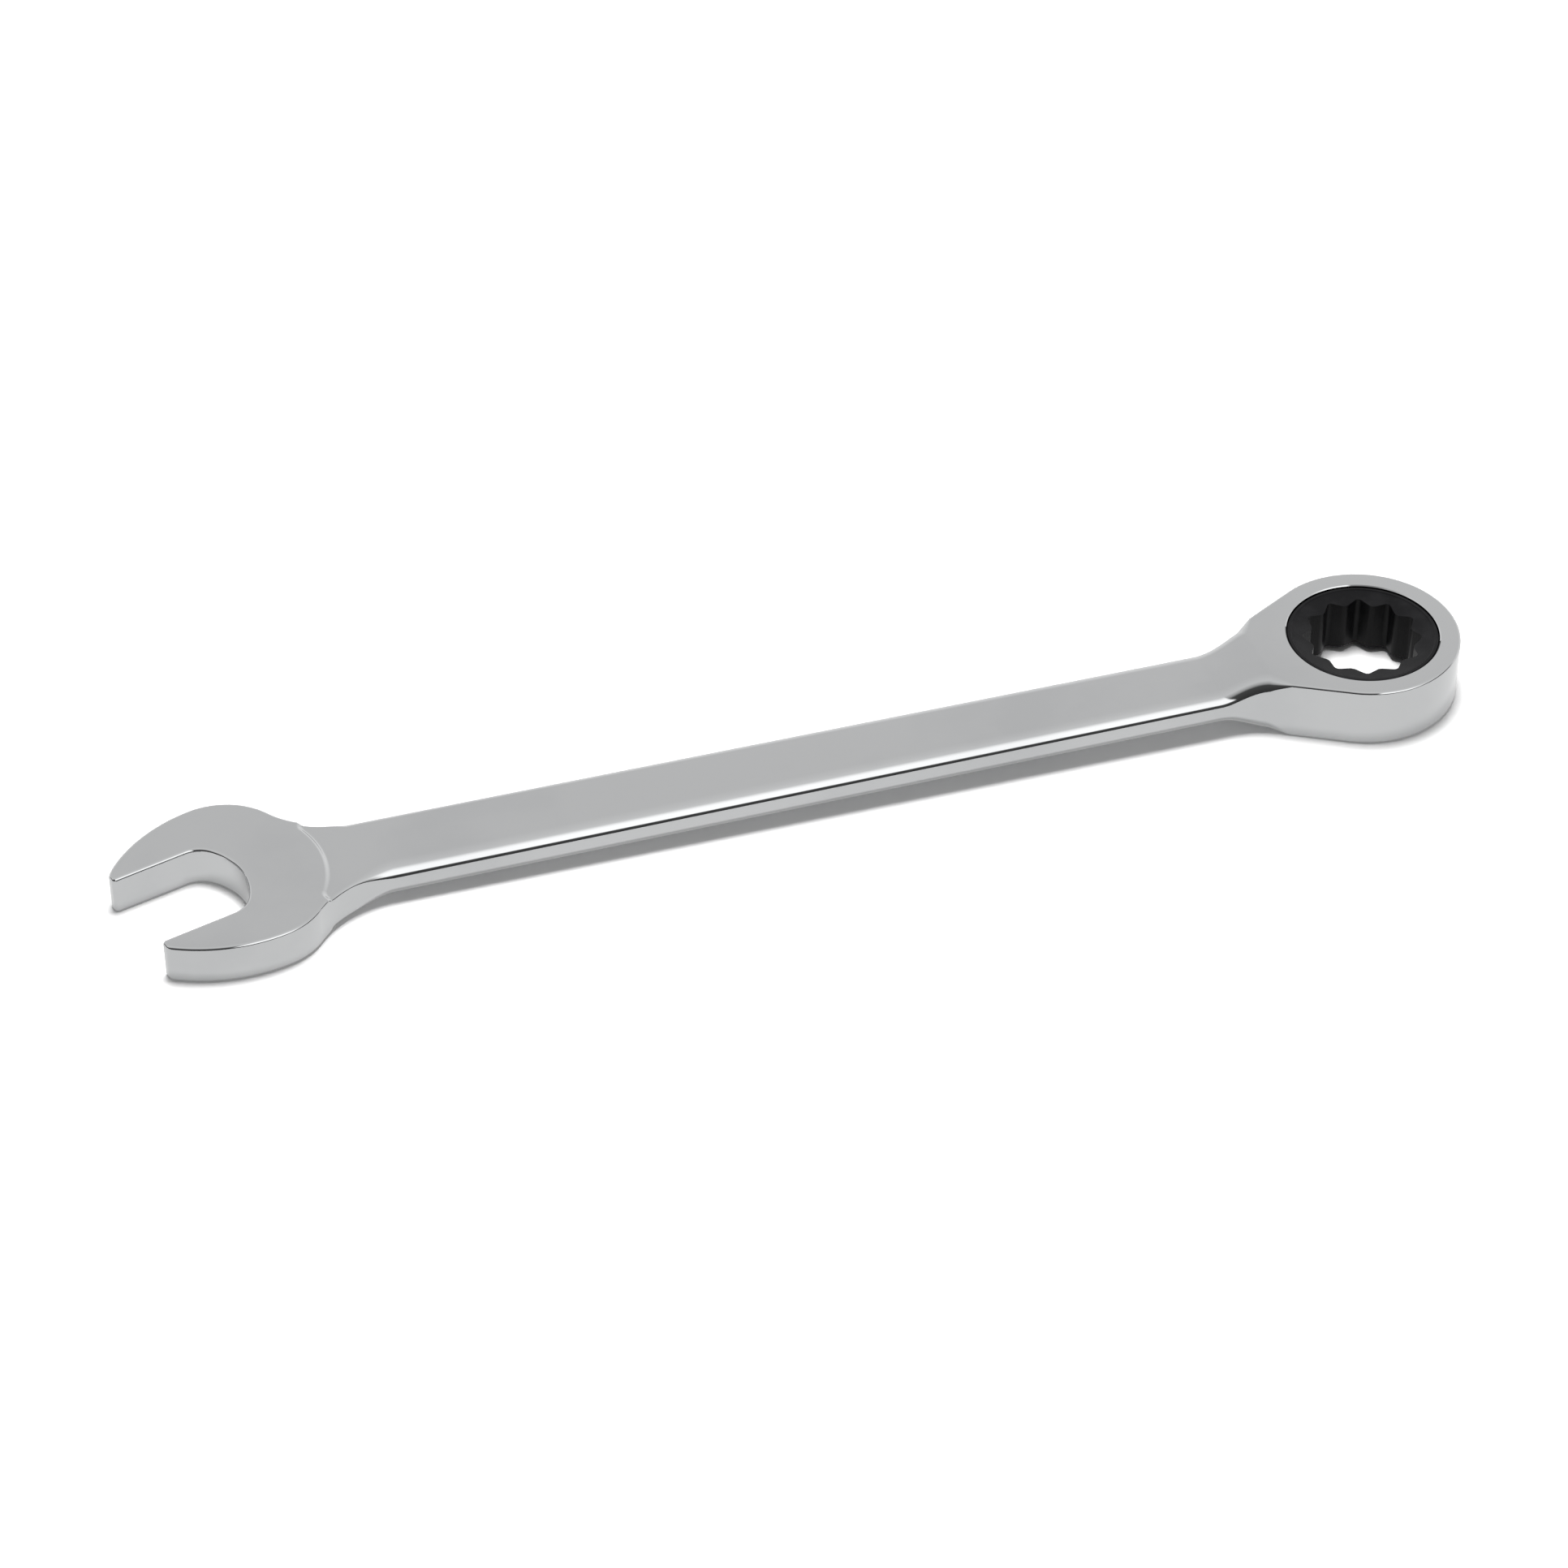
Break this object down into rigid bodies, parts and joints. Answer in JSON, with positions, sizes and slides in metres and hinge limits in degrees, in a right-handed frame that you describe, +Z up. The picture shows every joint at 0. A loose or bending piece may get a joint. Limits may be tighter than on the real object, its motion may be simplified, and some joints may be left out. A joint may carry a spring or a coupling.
{
  "type": "ratcheting combination wrench",
  "caption": "Flat chrome hand wrench with an angled open end and a ratcheting twelve-point ring end, for one size of hexagon nut.",
  "frame": {"origin": "under the middle of the wrench as it lies flat, at the height of the ring end's underside", "axes": "+X along the shank from the open end to the ring end, +Z up, so +Z is also the axis of the ring end's gear; the open end's mouth faces -X and, by its 15 degree offset, a little -Y"},
  "size_m": [0.178, 0.0272, 0.0083],
  "materials": {
    "polished_chrome": "mirror-polished chrome plate on forged chrome-vanadium steel",
    "black_oxide": "satin black oxide on hardened steel",
    "spring_steel": "bright oiled spring steel"
  },
  "bodies": {
    "body": {"wrench_body": "polished_chrome", "retaining_ring": "spring_steel", "pawl_spring": "spring_steel"},
    "gear": {"ratchet_gear": "black_oxide"},
    "pawl": {"pawl": "black_oxide"}
  },
  "joints": [
    {"name": "gear_spin", "type": "hinge", "parent": "body", "child": "gear", "pos_m": [0.0763, 0, 0.00415], "axis": [0, 0, 1], "continuous": true},
    {"name": "pawl_slide", "type": "slide", "parent": "body", "child": "pawl", "axis": [-1, 0, 0], "range_m": [0, 0.0008], "stiffness_N_per_m": 300, "springref_m": -0.003, "deforming": ["pawl_spring"]}
  ]
}
